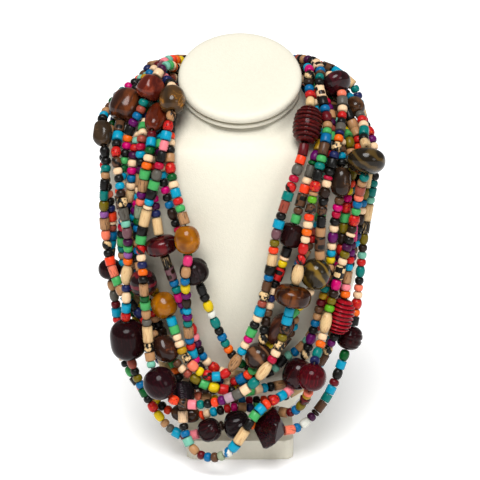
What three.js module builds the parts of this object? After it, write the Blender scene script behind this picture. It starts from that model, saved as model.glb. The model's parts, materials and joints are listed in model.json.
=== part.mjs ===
// Beaded necklace of eleven strands on a plain neck bust.
// Millimetres, +Z up, the wearer's front towards -Y. The bust stands on Z = 0.
import * as THREE from 'three';
import { mergeVertices } from 'three/addons/utils/BufferGeometryUtils.js';

const V3 = THREE.Vector3;
const RAD = Math.PI / 180;

// ---------------------------------------------------------------- driving sizes
const GAP = 0.3;                 // between pieces that touch on the real object
const BEAD_RADIUS = 3.05;        // the small beads' usual radius
const GROOVE_RADIUS = 2.0;       // where two small beads meet
const STRAND_CLEAR = 0.25;       // kept round every strand, beyond its beads
const BUST_SKIN = 2.2;            // kept off the bust's sections, for its pad and its facets
const NODE_PITCH = 7.2;          // one ring of the strand's mesh, a belly and a groove in turn
const STRAND_SIDES = 5;
const THREAD_RADIUS = 0.65;
const HOLE_RADIUS = 1.3;         // bored through the large beads
const BARE_NODES = 3;            // of thread at each end of a strand, next to the clasp
const BEAD_SEGMENTS = 9;
const BUST_SEGMENTS = 28;

const BASE = { halfWidth: 37, front: -36, back: 44, height: 14.4, corner: 7 };
const PAD = { y: 5, z: 263.5, radius: 41.5, thickness: 8, tilt: 30 * RAD };
const PIPING = { ring: 39.6, tube: 1.7 };
const CLASP = { y: 70, z: 246, radius: 13, halfLength: 12, slotPitch: 5 };

// The torso's level sections, from the base up: height, centre, half width, half depth, tilt.
const TORSO = [
  { z: 14.7, y: 4, a: 25, b: 22, tilt: 0 },
  { z: 22, y: 4, a: 35, b: 27, tilt: 0 },
  { z: 35, y: 4, a: 47, b: 33, tilt: 0 },
  { z: 60, y: 5, a: 62, b: 38, tilt: 0 },
  { z: 100, y: 6, a: 76, b: 43, tilt: 0 },
  { z: 140, y: 8, a: 85, b: 47, tilt: 0 },
  { z: 175, y: 10, a: 92, b: 49, tilt: 0 },
  { z: 200, y: 12, a: 96, b: 48, tilt: 0 },
  { z: 213, y: 13, a: 93, b: 46, tilt: 0 },
  { z: 223, y: 14, a: 80, b: 44, tilt: 4 },
  { z: 231, y: 14, a: 58, b: 42, tilt: 12 },
  { z: 240, y: 13, a: 43, b: 41, tilt: 22 },
  { z: 252, y: 11.6, a: 40.5, b: 40.5, tilt: 30 },
];

// ---------------------------------------------------------------- colours
const LEATHERETTE = { color: '#efebd8', roughness: 0.55, metalness: 0 };
const paint = (color, roughness = 0.3) => ({ color, roughness, metalness: 0 });

// ---------------------------------------------------------------- large beads
// radius across the thread, length along it, power of the outline (2 an ellipse, 4 a barrel).
const LARGE = {
  bead_russet_barrel: { radius: 11.6, length: 23, power: 3.4, color: '#4a2a18' },
  bead_mahogany_cut: { radius: 8.8, length: 16, power: 3, color: '#6e2819' },
  bead_olive_vein: { radius: 8.4, length: 18.5, power: 3, color: '#46372a' },
  bead_red_oval: { radius: 6.8, length: 25, power: 2.4, color: '#5f2618' },
  bead_grey_nugget: { radius: 6.8, length: 17.5, power: 3, color: '#3f3327' },
  bead_plum_small: { radius: 7.8, length: 14, power: 2.2, color: '#321922' },
  bead_red_disc: { radius: 10.6, length: 12.5, power: 2.2, color: '#4a0c10' },
  bead_amber_upper: { radius: 8.2, length: 18.5, power: 2.3, color: '#a0690f' },
  bead_grooved_ball: { radius: 9.3, length: 17.5, power: 2.3, color: '#2a2224' },
  bead_banded_ball: { radius: 9, length: 17, power: 2.3, color: '#38161a' },
  bead_amber_lower: { radius: 8.5, length: 17.5, power: 2.3, color: '#a96f12' },
  bead_plum_barrel: { radius: 11.8, length: 27, power: 3, color: '#2d161d' },
  bead_russet_patch: { radius: 8.4, length: 19, power: 2.6, color: '#3a2019' },
  bead_plum_sphere: { radius: 10.9, length: 22, power: 2.1, color: '#2f1720' },
  bead_fine_groove: { radius: 8.8, length: 16.5, power: 2.6, color: '#241c1f' },
  bead_long_barrel: { radius: 5.8, length: 20, power: 2.8, color: '#3c2619' },
  bead_carved_left: { radius: 7.8, length: 15, power: 2.6, color: '#301a1a' },
  bead_dark_round: { radius: 9.4, length: 17, power: 2.6, color: '#1f1316' },
  bead_faceted: { radius: 11.4, length: 19, power: 2.8, color: '#35121a' },
  bead_brown_small: { radius: 5.8, length: 11, power: 2.6, color: '#3a251c' },
  bead_plum_lens: { radius: 9.8, length: 13, power: 2.1, color: '#3b141c' },
  bead_banded_barrel: { radius: 6, length: 16, power: 3, color: '#4a3524' },
  bead_brown_oval: { radius: 6.2, length: 13, power: 2.4, color: '#4c3322' },
  bead_hive_dark: { radius: 9.5, length: 25.5, power: 2.8, color: '#4d1316' },
  bead_brown_disc: { radius: 12.4, length: 16.5, power: 2.3, color: '#3e3021' },
  bead_dark_barrel: { radius: 6.6, length: 19, power: 3, color: '#33261f' },
  bead_square: { radius: 7, length: 15.5, power: 4, color: '#2b1a1d' },
  bead_tiger_round: { radius: 9.4, length: 20, power: 2.4, color: '#5f4c22' },
  bead_chestnut_disc: { radius: 12, length: 14, power: 2.4, color: '#54280f' },
  bead_brown_long: { radius: 7.8, length: 24, power: 2.4, color: '#43281b' },
  bead_striped_round: { radius: 8.6, length: 17.5, power: 2.3, color: '#46302a' },
  bead_plum_oval: { radius: 9.8, length: 21, power: 2.4, color: '#35141a' },
  bead_plum_red: { radius: 9.4, length: 18.5, power: 2.1, color: '#4a1220' },
  bead_hive_red: { radius: 8.8, length: 24.5, power: 2.8, color: '#9c1520' },
  bead_plum_grooved: { radius: 8.5, length: 16.5, power: 2.4, color: '#38121c' },
};

// ---------------------------------------------------------------- the strands' routes
// Each route is drawn by hand from an eye in front and above: [across, up, lift], then the name
// of the large bead strung there. across and up lie on a plane through the drawing's centre that
// faces the eye, and lift is how far the strand stands out from the drape that lies on the bust.
// The left side is read from the neck down, and the right side back up to the neck.
const EYE = { distance: 1150, elevation: 20 * RAD, centre: new V3(0, 0, 148) };
const DRAPE = { front: -46, roundness: 0.0045, climb: 0.0083, climbFrom: 30 };

const ROUTES = {
  strand_inner_left: [
    [-41, 113, 0], [-47, 102, 2], [-51, 85, 3], [-55, 68, 3], [-54, 51, 4], [-53, 37, 5],
    [-50, 25, 5], [-46, 16, 5], [-43, 7, 4], [-39, -3, 3], [-30, -20, 4, 'bead_grooved_ball'],
    [-26, -34, 5], [-22, -44, 5], [-19, -53, 5], [-15, -62, 5], [-11, -70, 5], [-7, -82, 4],
    [0, -90, 1], [5, -95, 0], [12, -95, 0], [19, -83, 0], [25, -62, 2, 'bead_brown_long'],
    [38, -50, 3], [44, -42, 3], [52, -23, 5, 'bead_tiger_round'], [54, -7, 6], [54, 7, 6],
    [54, 19, 6], [56, 31, 6], [57, 39, 6], [59, 48, 7], [62, 54, 8], [63, 62, 8], [66, 70, 8],
    [68, 77, 8], [71, 86, 8], [72, 94, 8], [67, 107, 8, 'bead_plum_lens'], [59, 114, 6],
    [53, 113, 4], [46, 117, 0],
  ],
  strand_amber: [
    [-40, 114, 6], [-45, 97, 4], [-48, 83, 5], [-51, 68, 6], [-52, 56, 7], [-49, 46, 8],
    [-46, 35, 9], [-42, 24, 10], [-38, 14, 10], [-31, 2, 10, 'bead_amber_upper'], [-34, -15, 11],
    [-37, -27, 10], [-36, -41, 9], [-36, -54, 8], [-36, -68, 7], [-35, -80, 5], [-31, -89, 2],
    [-22, -97, 0], [-11, -102, 1], [-1, -101, 0], [10, -91, 1], [19, -79, 4, 'bead_striped_round'],
    [17, -64, 3], [17, -54, 2], [20, -43, 3], [23, -31, 4], [27, -23, 5], [30, -15, 6],
    [32, -8, 6], [35, 2, 8, 'bead_square'], [38, 13, 7], [40, 22, 7], [44, 33, 6], [46, 41, 6],
    [48, 49, 6], [50, 58, 5], [52, 68, 2], [54, 82, 0], [51, 99, 4], [47, 111, 6],
    [43, 114, 6, 'bead_brown_small'], [36, 118, 0],
  ],
  strand_inner_vee: [
    [-39, 116, 3], [-50, 117, 6], [-60, 103, 10, 'bead_mahogany_cut'], [-64, 92, 8], [-65, 86, 6],
    [-67, 82, 6], [-70, 75, 4], [-73, 67, 4], [-75, 58, 4], [-76, 52, 4], [-77, 42, 3],
    [-75, 31, 2], [-73, 17, 2], [-72, 3, 1], [-72, -10, 1], [-68, -20, 2], [-61, -29, 5],
    [-56, -33, 8], [-49, -40, 8, 'bead_amber_lower'], [-46, -53, 10], [-44, -64, 10],
    [-41, -72, 10], [-40, -80, 10], [-36, -86, 10], [-30, -92, 10], [-23, -97, 9], [-14, -101, 8],
    [-7, -98, 8], [-3, -89, 8], [1, -80, 8], [5, -70, 8], [10, -60, 8], [15, -50, 7], [17, -37, 6],
    [20, -27, 6], [22, -16, 6], [24, -3, 6], [24, 6, 6], [27, 16, 6], [31, 25, 6], [34, 35, 6],
    [38, 44, 6], [41, 53, 6], [48, 60, 6], [54, 75, 8, 'bead_hive_dark'], [51, 92, 10],
    [47, 106, 8], [44, 116, 4], [39, 116, 0],
  ],
  strand_left_front: [
    [-40, 118, 0], [-48, 114, 6], [-48, 109, 10], [-48, 95, 15, 'bead_olive_vein'], [-47, 84, 14],
    [-50, 71, 14], [-52, 63, 14], [-54, 50, 14], [-59, 36, 14], [-63, 22, 14], [-67, 11, 14],
    [-68, -2, 14], [-66, -14, 14], [-65, -24, 14], [-65, -35, 14], [-63, -49, 14], [-63, -65, 14],
    [-61, -77, 14], [-56, -97, 12, 'bead_plum_sphere'], [-46, -111, 14], [-39, -115, 18],
    [-29, -115, 20], [-18, -114, 20], [-7, -110, 20], [3, -107, 20], [10, -103, 20],
    [16, -94, 20], [22, -84, 18], [28, -75, 16], [31, -64, 16], [33, -51, 14],
    [36, -37, 12, 'bead_chestnut_disc'], [40, -21, 12], [42, -7, 12], [44, 5, 12], [47, 18, 12],
    [50, 33, 12], [52, 42, 12], [54, 51, 12], [56, 61, 12], [59, 71, 12], [59, 83, 10],
    [57, 92, 10], [54, 102, 8], [53, 109, 6], [47, 114, 4], [40, 118, 0],
  ],
  strand_red_disc: [
    [-44, 114, 4], [-52, 105, 0], [-55, 88, 1], [-61, 68, 2], [-62, 51, 3], [-60, 35, 5],
    [-58, 22, 7], [-57, 10, 8], [-53, -3, 10, 'bead_red_disc'], [-50, -15, 8], [-46, -26, 7],
    [-42, -37, 6], [-40, -45, 3], [-33, -55, 2], [-32, -65, 2], [-31, -75, 2], [-29, -84, 2],
    [-24, -91, 1], [-13, -94, -2], [3, -97, -3], [20, -97, -3], [33, -89, -4], [44, -77, -2],
    [52, -64, 0], [59, -49, 1], [65, -34, 1], [68, -17, 1], [70, 0, 1], [71, 17, 1], [73, 34, 1],
    [74, 51, 1], [73, 68, 0], [71, 83, 0], [67, 97, 2], [61, 109, 2], [51, 114, 4],
  ],
  strand_between: [
    [-46, 116, 4], [-55, 106, 2], [-60, 92, 3], [-64, 77, 4], [-65, 69, 5], [-65, 61, 5],
    [-67, 50, 5], [-68, 38, 4], [-68, 24, 2], [-72, 8, 0], [-75, -10, 0], [-75, -28, 0],
    [-72, -45, 0], [-66, -62, 0], [-60, -80, 0], [-50, -95, 0], [-38, -104, 1], [-25, -107, 2],
    [-8, -106, 2], [5, -101, 1], [14, -92, 0], [20, -79, 0], [25, -66, 0], [31, -52, 0],
    [37, -36, 0], [42, -21, 2], [47, -8, 4], [51, 2, 5], [55, 12, 3], [57, 24, 2], [59, 36, 2],
    [62, 50, 2], [64, 62, 2], [66, 76, 2], [64, 92, 2], [58, 106, 2], [49, 113, 2],
  ],
  strand_low_loop: [
    [-41, 115, 0], [-53, 109, 2], [-55, 103, 4], [-56, 91, 8, 'bead_red_oval'], [-58, 72, 8],
    [-60, 57, 8], [-63, 48, 8], [-65, 37, 8], [-68, 29, 8], [-70, 19, 7], [-71, 9, 6],
    [-71, -3, 4], [-71, -13, 3], [-63, -26, 3, 'bead_banded_ball'], [-60, -41, 4], [-56, -58, 2],
    [-49, -75, 0], [-43, -90, 2], [-39, -103, 6, 'bead_fine_groove'], [-41, -117, 12],
    [-41, -127, 16], [-40, -135, 18], [-38, -145, 20], [-31, -152, 22], [-19, -155, 24],
    [-8, -153, 24], [-3, -145, 24], [0, -136, 24], [5, -127, 24], [8, -118, 22], [12, -112, 20],
    [17, -109, 16], [24, -108, 12], [33, -106, 9], [39, -104, 6], [41, -93, 2, 'bead_plum_oval'],
    [44, -79, 6], [49, -71, 7], [50, -63, 8], [53, -50, 8], [56, -41, 6], [60, -29, 2],
    [62, -17, 6], [62, -5, 8], [63, 10, 8], [65, 22, 8], [68, 39, 8, 'bead_dark_barrel'],
    [69, 52, 6], [68, 68, 5], [68, 81, 5], [67, 93, 4, 'bead_banded_barrel'], [64, 103, 2],
    [56, 113, 0], [48, 116, 0],
  ],
  strand_left_shoulder: [
    [-44, 117, 0], [-54, 114, 3], [-63, 114, 8], [-71, 107, 10], [-81, 93, 6, 'bead_russet_barrel'],
    [-83, 78, 8], [-82, 65, 10], [-82, 49, 10], [-81, 33, 10], [-79, 22, 10], [-73, 2, 10],
    [-75, -15, 10], [-74, -37, 10], [-78, -44, 10], [-76, -62, 8, 'bead_plum_barrel'],
    [-75, -82, 8], [-69, -97, 8], [-58, -116, 8], [-53, -126, 8], [-45, -136, 8], [-31, -139, 10],
    [-20, -129, 12, 'bead_carved_left'], [-2, -124, 12, 'bead_dark_round'],
    [19, -126, 12, 'bead_faceted'], [31, -136, 12], [41, -132, 10], [52, -120, 8], [56, -114, 6],
    [63, -104, 5], [67, -90, 5], [71, -79, 5], [75, -66, 5, 'bead_plum_grooved'], [79, -52, 4],
    [81, -28, 4], [83, -11, 4], [84, 12, 4], [86, 31, 3], [87, 41, 2], [87, 54, -4], [83, 75, -4],
    [76, 95, -2], [64, 112, 0], [52, 115, 0],
  ],
  strand_rear: [
    [-47, 115, -2], [-58, 110, -2], [-62, 95, 0], [-64, 82, 1], [-66, 68, 2], [-69, 54, 2],
    [-71, 46, 1], [-71, 35, 0], [-75, 20, -2], [-79, 7, -3], [-80, -7, -3], [-79, -20, -3],
    [-71, -34, -2], [-66, -48, 0], [-58, -61, 0], [-52, -82, 0], [-46, -99, 0], [-35, -109, 1],
    [-18, -113, 1], [-1, -112, -2], [20, -112, -4], [35, -110, -2], [45, -104, 0], [53, -90, 0],
    [61, -75, 0], [66, -61, 0], [69, -41, 0], [73, -20, 0], [76, -3, 1], [80, 14, 1],
    [81, 34, 0], [82, 51, -3], [80, 68, -2], [75, 85, -2], [69, 99, -2], [62, 112, -2],
    [53, 114, -2],
  ],
  strand_left_outer: [
    [-48, 117, 2], [-65, 114, 2], [-77, 102, 2], [-85, 87, 2], [-87, 68, 4, 'bead_grey_nugget'],
    [-87, 54, 8], [-91, 41, 8], [-92, 24, 8], [-92, 0, 8], [-91, -8, 9], [-88, -20, 10],
    [-81, -33, 8], [-73, -44, 4], [-67, -57, 2], [-52, -74, 8, 'bead_russet_patch'],
    [-45, -85, 12], [-37, -93, 14], [-30, -101, 14], [-23, -104, 14], [-13, -105, 12],
    [-3, -104, 10], [7, -102, 4], [21, -101, 2], [37, -99, 0], [50, -96, 0], [55, -90, 2],
    [58, -81, 4], [63, -68, 8], [70, -52, 10, 'bead_hive_red'], [71, -37, 9], [73, -25, 8],
    [74, -14, 7], [76, 0, 6], [75, 18, 4], [76, 34, 3], [77, 51, 0], [77, 67, 4], [75, 82, 4],
    [70, 97, 0], [58, 116, 0], [47, 117, 0],
  ],
  strand_left_second: [
    [-50, 117, 4], [-62, 113, 0], [-75, 106, -2], [-84, 90, 0], [-86, 68, 2], [-85, 48, 2],
    [-84, 29, 2], [-84, 14, 2], [-86, 1, 2], [-88, -7, 2], [-91, -18, 0, 'bead_plum_small'],
    [-87, -31, 3], [-84, -42, 2], [-82, -50, 0], [-84, -65, -4], [-81, -82, 0], [-75, -92, 3],
    [-69, -101, 5], [-62, -109, 6], [-53, -118, 8], [-38, -126, 8, 'bead_long_barrel'],
    [-22, -123, 14], [-16, -119, 12], [-9, -116, 6], [3, -113, 2], [14, -115, 0], [25, -124, 6],
    [33, -128, 10], [38, -123, 10], [43, -116, 8], [47, -107, 8], [47, -101, 8],
    [42, -89, 12, 'bead_plum_red'], [49, -79, 10], [54, -76, 10], [56, -67, 9], [58, -56, 9],
    [61, -45, 8], [63, -35, 8], [65, -27, 8], [68, -18, 8], [71, -8, 8], [75, 3, 8], [78, 12, 9],
    [79, 22, 9], [80, 31, 8], [79, 40, 8], [79, 54, 8, 'bead_brown_disc'], [80, 68, 7],
    [81, 78, 5], [79, 84, 2], [77, 93, -2, 'bead_brown_oval'], [74, 103, -2], [66, 113, 0],
    [55, 115, 0],
  ],
};

// ---------------------------------------------------------------- from the drawing to space
const eyeBack = new V3(0, -Math.cos(EYE.elevation), Math.sin(EYE.elevation));
const eyePoint = EYE.centre.clone().addScaledVector(eyeBack, EYE.distance);
const planeUp = new V3(0, Math.sin(EYE.elevation), Math.cos(EYE.elevation));

function drapeDepth(across, up) {
  const climb = Math.max(0, up - DRAPE.climbFrom);
  return DRAPE.front + DRAPE.roundness * across * across + DRAPE.climb * climb * climb;
}

function inSpace([across, up, lift]) {
  const onPlane = EYE.centre.clone().add(new V3(across, 0, 0)).addScaledVector(planeUp, up);
  const ray = onPlane.sub(eyePoint);
  return eyePoint.clone().addScaledVector(ray, (drapeDepth(across, up) - lift - eyePoint.y) / ray.y);
}

// ---------------------------------------------------------------- strands before they settle
// Behind the neck every strand has its own lane, and its bare threads end at the clasp.
const LANES_PER_ROW = 4;
function lane(index, side) {
  const row = Math.floor(index / LANES_PER_ROW);
  const level = index % LANES_PER_ROW - (LANES_PER_ROW - 1) / 2;
  const slot = new V3(side * (CLASP.halfLength + GAP), CLASP.y + (row - 1) * CLASP.slotPitch,
    CLASP.z + level * CLASP.slotPitch * 0.8);
  return [
    new V3(side * (44 + row * 7), 34 + row * 6, 250 + level * 7),
    new V3(side * (32 + row * 4), 52 + row * 7, 248 + level * 7),
    new V3(side * (24 + row * 2), 0.5 * (60 + row * 6 + slot.y), CLASP.z + level * 5),
    slot,
  ];
}

// A strand is a row of nodes. Between a large bead's two end nodes the thread is bare and straight.
function makeStrand(name, route, index) {
  const points = route.map(inSpace);
  const nodes = [];
  const beads = [];
  const left = lane(index, -1).reverse();
  const right = lane(index, 1);
  let run = [...left];
  const addRun = () => {
    const curve = new THREE.CatmullRomCurve3(run, false, 'centripetal');
    const steps = Math.max(1, Math.round(curve.getLength() / NODE_PITCH));
    curve.getSpacedPoints(steps).forEach((point) => nodes.push({ point, goal: point.clone() }));
  };
  route.forEach(([, , , bead], i) => {
    if (!bead) { run.push(points[i]); return; }
    const along = points[i + 1].clone().sub(points[i - 1]).normalize();
    const half = LARGE[bead].length / 2 + GAP + 0.3;
    run.push(points[i].clone().addScaledVector(along, -half));
    addRun();
    beads.push({ name: bead, entry: nodes.length - 1, half, ...LARGE[bead] });
    run = [points[i].clone().addScaledVector(along, half)];
  });
  run.push(...right);
  addRun();
  nodes[0].fixed = true;
  nodes[nodes.length - 1].fixed = true;
  return { name, nodes, beads };
}

const strands = Object.entries(ROUTES).map(([name, route], i) => makeStrand(name, route, i));

// ---------------------------------------------------------------- settling
// Strands and beads that would cut into each other or into the bust are moved apart, mostly
// towards or away from the eye, and each node is drawn back to where it was drawn.
const SETTLE = { rounds: 360, finish: 60, pull: 0.035, smooth: 0.26, sideways: 0.55 };

function sectionAt(z) {
  const top = TORSO.findIndex((s) => s.z > z);
  if (top <= 0) return TORSO[top === 0 ? 0 : TORSO.length - 1];
  const [s, t] = [TORSO[top - 1], TORSO[top]];
  const between = (key) => s[key] + ((z - s.z) / (t.z - s.z)) * (t[key] - s[key]);
  return { y: between('y'), a: between('a'), b: between('b'), tilt: between('tilt') };
}

// Roughly the distance from the bust's surface, negative inside it.
function bustField(p) {
  let s = sectionAt(p.z);
  for (let i = 0; i < 3; i += 1) s = sectionAt(p.z - (p.y - s.y) * Math.tan(s.tilt * RAD));
  const depth = (p.y - s.y) / Math.cos(s.tilt * RAD);
  return (Math.hypot(p.x / (s.a + BUST_SKIN), depth / (s.b + BUST_SKIN)) - 1) * Math.min(s.a, s.b);
}

function offBust(p, radius) {
  const f = bustField(p);
  if (f > 4 * radius) return null;
  const e = 0.5;
  const slope = new V3(bustField(p.clone().setX(p.x + e)) - f, bustField(p.clone().setY(p.y + e)) - f,
    bustField(p.clone().setZ(p.z + e)) - f).divideScalar(e);
  const steep = Math.max(slope.length(), 0.3);
  const depth = radius - f / steep;
  return depth > 0 ? slope.normalize().multiplyScalar(Math.min(depth, 2)) : null;
}

const isBare = (strand, i) => i < BARE_NODES || i >= strand.nodes.length - BARE_NODES;
const segments = strands.flatMap((strand, s) => strand.nodes.slice(1).map((node, i) => ({
  strand: s, i, a: strand.nodes[i], b: node, bead: strand.beads.find((bead) => bead.entry === i),
  reach: isBare(strand, i) && isBare(strand, i + 1) ? THREAD_RADIUS : BEAD_RADIUS + STRAND_CLEAR,
})));
const beadSegments = segments.filter((segment) => segment.bead);
const runSegments = segments.filter((segment) => !segment.bead);

function closest(p1, q1, p2, q2) {
  const d1 = q1.clone().sub(p1), d2 = q2.clone().sub(p2), r = p1.clone().sub(p2);
  const a = d1.dot(d1), e = d2.dot(d2), f = d2.dot(r), c = d1.dot(r), b = d1.dot(d2);
  const denominator = a * e - b * b;
  let s = denominator > 1e-9 ? THREE.MathUtils.clamp((b * f - c * e) / denominator, 0, 1) : 0.5;
  let t = (b * s + f) / e;
  if (t < 0) { t = 0; s = THREE.MathUtils.clamp(-c / a, 0, 1); }
  if (t > 1) { t = 1; s = THREE.MathUtils.clamp((b - c) / a, 0, 1); }
  const gap = p1.clone().addScaledVector(d1, s).sub(p2.clone().addScaledVector(d2, t));
  return { s, t, gap };
}

function shift(node, move) {
  if (!node.fixed) node.point.add(move);
}

function parted(gap, wanted) {
  const size = gap.length();
  if (size >= wanted) return null;
  const away = gap.clone();
  away.x *= SETTLE.sideways;
  away.z *= SETTLE.sideways;
  if (away.length() < 1e-3) away.set(0, 1, 0);
  return away.normalize().multiplyScalar(Math.min(0.5 * (wanted - size) + 0.02, 1.2));
}

function partRuns() {
  runSegments.forEach((u, i) => {
    for (let j = i + 1; j < runSegments.length; j += 1) {
      const v = runSegments[j];
      if (Math.abs(u.a.point.x - v.a.point.x) > 19 || Math.abs(u.a.point.z - v.a.point.z) > 19) continue;
      if (Math.abs(u.a.point.y - v.a.point.y) > 19) continue;
      if (u.strand === v.strand && Math.abs(u.i - v.i) < 5) continue;
      const { s, t, gap } = closest(u.a.point, u.b.point, v.a.point, v.b.point);
      const move = parted(gap, u.reach + v.reach);
      if (!move) continue;
      shift(u.a, move.clone().multiplyScalar(1.2 - s));
      shift(u.b, move.clone().multiplyScalar(0.2 + s));
      shift(v.a, move.clone().multiplyScalar(-1.2 + t));
      shift(v.b, move.clone().multiplyScalar(-0.2 - t));
    }
  });
}

// How far a point stands inside a large bead grown by `radius`, as a push outwards.
function pushFromBead(segment, point, radius) {
  const axis = segment.b.point.clone().sub(segment.a.point).normalize();
  const centre = segment.a.point.clone().add(segment.b.point).multiplyScalar(0.5);
  const from = point.clone().sub(centre);
  const along = from.dot(axis);
  const outward = from.clone().addScaledVector(axis, -along);
  const R = segment.bead.radius + radius;
  const H = segment.bead.length / 2 + radius;
  const n = segment.bead.power;
  const f = Math.pow(Math.pow(outward.length() / R, n) + Math.pow(Math.abs(along) / H, n), 1 / n);
  if (f >= 1) return null;
  const wanted = Math.min(from.length() / Math.max(f, 0.05) - from.length(), 4);
  const away = from.clone();
  away.x *= SETTLE.sideways;
  away.z *= SETTLE.sideways;
  return away.normalize().multiplyScalar(wanted * 0.7 + 0.02);
}

function partBeads() {
  beadSegments.forEach((big, i) => {
    for (const u of runSegments) {
      if (u.a.point.distanceToSquared(big.a.point) > 2000) continue;
      if (u.strand === big.strand && Math.abs(u.i - big.i) < 3) continue;
      for (const k of [0, 0.5]) {
        const point = u.a.point.clone().lerp(u.b.point, k);
        const move = pushFromBead(big, point, BEAD_RADIUS + STRAND_CLEAR);
        if (!move) continue;
        shift(u.a, move.clone().multiplyScalar(0.75));
        if (k > 0) shift(u.b, move.clone().multiplyScalar(0.75));
        [big.a, big.b].forEach((node) => shift(node, move.clone().multiplyScalar(-0.25)));
      }
    }
    for (let j = 0; j < beadSegments.length; j += 1) {
      if (j === i) continue;
      const other = beadSegments[j];
      for (const k of [0.25, 0.5, 0.75]) {
        const point = other.a.point.clone().lerp(other.b.point, k);
        const size = Math.min(other.bead.radius, other.bead.length * 0.5) * (k === 0.5 ? 1 : 0.85);
        const move = pushFromBead(big, point, size + STRAND_CLEAR);
        if (!move) continue;
        [other.a, other.b].forEach((node) => shift(node, move.clone().multiplyScalar(0.5)));
        [big.a, big.b].forEach((node) => shift(node, move.clone().multiplyScalar(-0.5)));
      }
    }
  });
}

function keepBeadsRigid() {
  beadSegments.forEach(({ a, b, bead }) => {
    const centre = a.point.clone().add(b.point).multiplyScalar(0.5);
    const along = b.point.clone().sub(a.point).normalize().multiplyScalar(bead.half);
    a.point.copy(centre).sub(along);
    b.point.copy(centre).add(along);
  });
}

function keepClear() {
  strands.forEach(({ nodes }) => nodes.forEach((node) => {
    const move = offBust(node.point, BEAD_RADIUS + 2 * GAP);
    if (move) shift(node, move);
    if (!node.fixed) node.point.z = Math.max(node.point.z, BEAD_RADIUS + 0.6);
  }));
  beadSegments.forEach(({ a, b, bead }) => {
    const centre = a.point.clone().add(b.point).multiplyScalar(0.5);
    const move = offBust(centre, Math.max(bead.radius, bead.length * 0.35) + GAP);
    if (move) [a, b].forEach((node) => shift(node, move));
  });
}

function relax() {
  strands.forEach(({ nodes }) => {
    for (let i = 1; i < nodes.length - 1; i += 1) {
      const node = nodes[i];
      const middle = nodes[i - 1].point.clone().add(nodes[i + 1].point).multiplyScalar(0.5);
      shift(node, middle.sub(node.point).multiplyScalar(SETTLE.smooth));
      const home = node.goal.clone().sub(node.point).multiplyScalar(SETTLE.pull);
      home.y *= 0.3;
      shift(node, home);
    }
  });
}

for (let round = 0; round < SETTLE.rounds + SETTLE.finish; round += 1) {
  if (round < SETTLE.rounds) relax();
  partRuns();
  partBeads();
  keepBeadsRigid();
  keepClear();
}

// ---------------------------------------------------------------- shapes
function closedMesh(rings, start, end) {
  // Rings of equally many points, first to last, closed by a point at each end.
  const positions = [];
  const index = [];
  const count = rings[0].length;
  rings.flat().forEach((p) => positions.push(p.x, p.y, p.z));
  positions.push(start.x, start.y, start.z, end.x, end.y, end.z);
  const [first, last] = [rings.length * count, rings.length * count + 1];
  for (let j = 0; j < count; j += 1) {
    const k = (j + 1) % count;
    index.push(first, k, j);
    for (let i = 0; i < rings.length - 1; i += 1) {
      const [a, b] = [i * count, (i + 1) * count];
      index.push(a + j, a + k, b + k, a + j, b + k, b + j);
    }
    const c = (rings.length - 1) * count;
    index.push(last, c + j, c + k);
  }
  const geometry = new THREE.BufferGeometry();
  geometry.setAttribute('position', new THREE.Float32BufferAttribute(positions, 3));
  geometry.setIndex(index);
  geometry.computeVertexNormals();
  return geometry;
}

function torsoShape() {
  const rings = TORSO.map(({ z, y, a, b, tilt }) => Array.from({ length: BUST_SEGMENTS }, (_, j) => {
    const turn = (2 * Math.PI * j) / BUST_SEGMENTS;
    const depth = b * Math.sin(turn);
    return new V3(a * Math.cos(turn), y + depth * Math.cos(tilt * RAD), z + depth * Math.sin(tilt * RAD));
  }));
  const ends = [TORSO[0], TORSO[TORSO.length - 1]].map(({ y, z }) => new V3(0, y, z));
  return closedMesh(rings, ...ends);
}

function lathe(profile, segments = BUST_SEGMENTS) {
  const points = profile.map(([r, h]) => new THREE.Vector2(r, h));
  return mergeVertices(new THREE.LatheGeometry(points, segments), 1e-4).rotateX(Math.PI / 2);
}

function padShape() {
  const { radius: r, thickness: t } = PAD;
  return lathe([[0, -t], [r - 2.5, -t], [r - 0.4, -t + 2], [r, -t * 0.5], [r - 0.9, -1.6],
    [r - 3.4, -0.3], [r - 8, 0], [0, 0]]);
}

function baseShape() {
  const { halfWidth: w, front, back, corner: c, height } = BASE;
  const outline = new THREE.Shape();
  outline.moveTo(-w + c, front).lineTo(w - c, front).absarc(w - c, front + c, c, -Math.PI / 2, 0);
  outline.lineTo(w, back - c).absarc(w - c, back - c, c, 0, Math.PI / 2);
  outline.lineTo(-w + c, back).absarc(-w + c, back - c, c, Math.PI / 2, Math.PI);
  outline.lineTo(-w, front + c).absarc(-w + c, front + c, c, Math.PI, 1.5 * Math.PI);
  return new THREE.ExtrudeGeometry(outline, { depth: height, bevelEnabled: false, curveSegments: 5 });
}

function largeBeadShape({ radius, length, power }) {
  const rim = 0.5 * length;
  const face = Math.max(0.28 * radius, HOLE_RADIUS + 0.8);
  const outline = [-0.8, 0, 0.8].map((k) => {
    const r = radius * Math.pow(1 - Math.pow(Math.abs(k), power), 1 / power);
    return [Math.max(r, face), k * rim];
  });
  return lathe([[HOLE_RADIUS, -rim], [face, -rim], ...outline, [face, rim], [HOLE_RADIUS, rim],
    [HOLE_RADIUS, -rim]], BEAD_SEGMENTS);
}

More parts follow.
